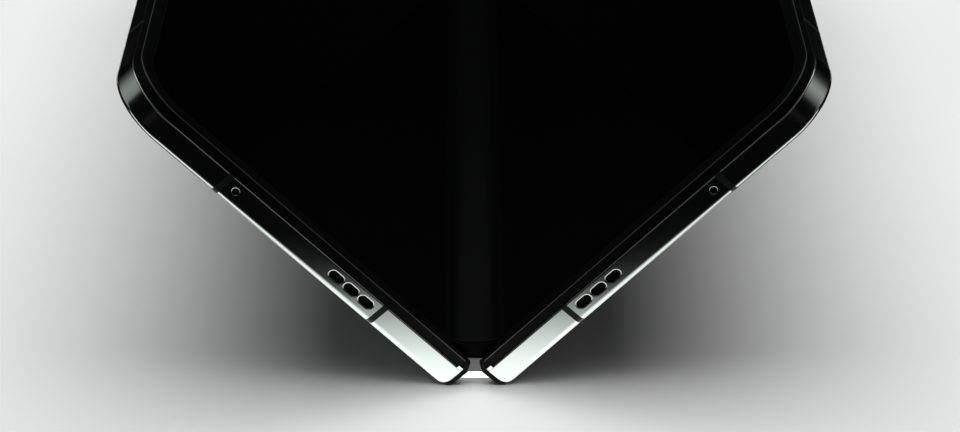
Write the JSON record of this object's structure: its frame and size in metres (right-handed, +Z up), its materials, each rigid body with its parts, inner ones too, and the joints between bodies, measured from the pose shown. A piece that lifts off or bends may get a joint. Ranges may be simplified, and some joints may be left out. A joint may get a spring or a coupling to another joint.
{
  "type": "foldable smartphone",
  "caption": "Book-style foldable phone standing half open: two thin metal-framed halves, a continuous inner display, and a hinge spine with rotating arms and synchronising gears.",
  "frame": {"origin": "on the table under the middle of the fold: x and y are the middle of the body, z is the surface that the two lower edges stand on", "axes": "+Y along the fold, from the near short side with the microphone holes and speaker slots to the far short side with the charging port; +X across the fold towards the half with the cover display; +Z up, the way the half-open inner display faces"},
  "size_m": [0.107, 0.1534, 0.0542],
  "materials": {
    "spine_metal": "polished, slightly green-tinted bright metal",
    "guard_gray": "matte dark gray",
    "hinge_steel": "machined steel",
    "support_metal": "thin sheet, satin",
    "display_glass": "glossy black, screen off",
    "flex_orange": "polyimide ribbon",
    "frame_metal": "dark green-graphite, polished",
    "band_plastic": "satin dark gray-green",
    "trim_black": "satin black",
    "rim_black": "glossy black",
    "battery_foil": "laminated pouch",
    "board_green": "solder mask",
    "inner_plastic": "moulded black",
    "mesh_black": "woven acoustic mesh",
    "rear_glass": "matte etched, dark green-black",
    "lens_glass": "coated lens glass",
    "flash_diffuser": "ribbed translucent",
    "screw_steel": "bright steel",
    "cover_glass": "glossy black, screen off"
  },
  "bodies": {
    "spine": {"spine_cover": "spine_metal", "spine_end_caps": "spine_metal", "hinge_end_guards": "guard_gray", "hinge_cradles": "hinge_steel", "hinge_cores": "hinge_steel", "gear_shafts": "hinge_steel", "fold_support_plate": "support_metal", "display_fold_strip": "display_glass", "hinge_flex_ribbons": "flex_orange"},
    "left_half": {"left_frame": "frame_metal", "left_antenna_bands": "band_plastic", "left_end_trims": "trim_black", "left_rim": "rim_black", "left_display_panel": "display_glass", "left_support_plate": "support_metal", "left_battery": "battery_foil", "main_board": "board_green", "shield_cans": "hinge_steel", "left_speakers": "inner_plastic", "left_acoustic_meshes": "mesh_black", "rear_cover": "rear_glass", "camera_island": "frame_metal", "camera_lens_rings": "frame_metal", "camera_lens_glasses": "lens_glass", "camera_modules": "inner_plastic", "flash_lens": "flash_diffuser", "left_rotators": "hinge_steel", "left_hinge_screws": "screw_steel", "usb_c_receptacle": "screw_steel", "vibration_motor": "hinge_steel"},
    "right_half": {"right_frame": "frame_metal", "right_antenna_bands": "band_plastic", "right_end_trims": "trim_black", "right_rim": "rim_black", "right_display_panel": "display_glass", "right_support_plate": "support_metal", "right_battery": "battery_foil", "sub_board": "board_green", "right_speakers": "inner_plastic", "right_acoustic_meshes": "mesh_black", "cover_glass": "cover_glass", "cover_display_module": "inner_plastic", "cover_camera": "lens_glass", "earpiece_mesh": "mesh_black", "right_rotators": "hinge_steel", "right_hinge_screws": "screw_steel"},
    "swing_arm_left": {"swing_arm_left": "hinge_steel"},
    "swing_arm_right": {"swing_arm_right": "hinge_steel"},
    "volume_key": {"volume_key": "frame_metal"},
    "power_key": {"power_key": "frame_metal"},
    "sim_tray": {"sim_tray": "frame_metal"},
    "alert_slider": {"alert_slider": "frame_metal"}
  },
  "joints": [
    {"name": "right_fold", "type": "hinge", "parent": "spine", "child": "right_half", "pos_m": [0.0005, 0, 0.00312], "axis": [0, -1, 0], "range_deg": [-46, 44]},
    {"name": "left_fold", "type": "hinge", "parent": "spine", "child": "left_half", "pos_m": [-0.0005, 0, 0.00312], "axis": [0, 1, 0], "range_deg": [-46, 44]},
    {"name": "right_swing", "type": "hinge", "parent": "spine", "child": "swing_arm_right", "pos_m": [0.0009, 0, 0.0018], "axis": [0, -1, 0], "range_deg": [-46, 44]},
    {"name": "left_swing", "type": "hinge", "parent": "spine", "child": "swing_arm_left", "pos_m": [-0.0009, 0, 0.0018], "axis": [0, 1, 0], "range_deg": [-46, 44]},
    {"name": "volume_press", "type": "slide", "parent": "left_half", "child": "volume_key", "axis": [0.6947, 0, -0.7193], "range_m": [0, 0.00025], "stiffness_N_per_m": 4000},
    {"name": "power_press", "type": "slide", "parent": "left_half", "child": "power_key", "axis": [0.6947, 0, -0.7193], "range_m": [0, 0.00025], "stiffness_N_per_m": 4000},
    {"name": "sim_tray_slide", "type": "slide", "parent": "left_half", "child": "sim_tray", "axis": [0, 1, 0], "range_m": [0, 0.027]},
    {"name": "alert_slide", "type": "slide", "parent": "right_half", "child": "alert_slider", "axis": [0, 1, 0], "range_m": [-0.0023, 0.0023]}
  ],
  "couplings": [
    {"joint": "left_fold", "follows": "right_fold", "ratio": 1},
    {"joint": "right_swing", "follows": "right_fold", "ratio": 1},
    {"joint": "left_swing", "follows": "right_fold", "ratio": 1}
  ]
}
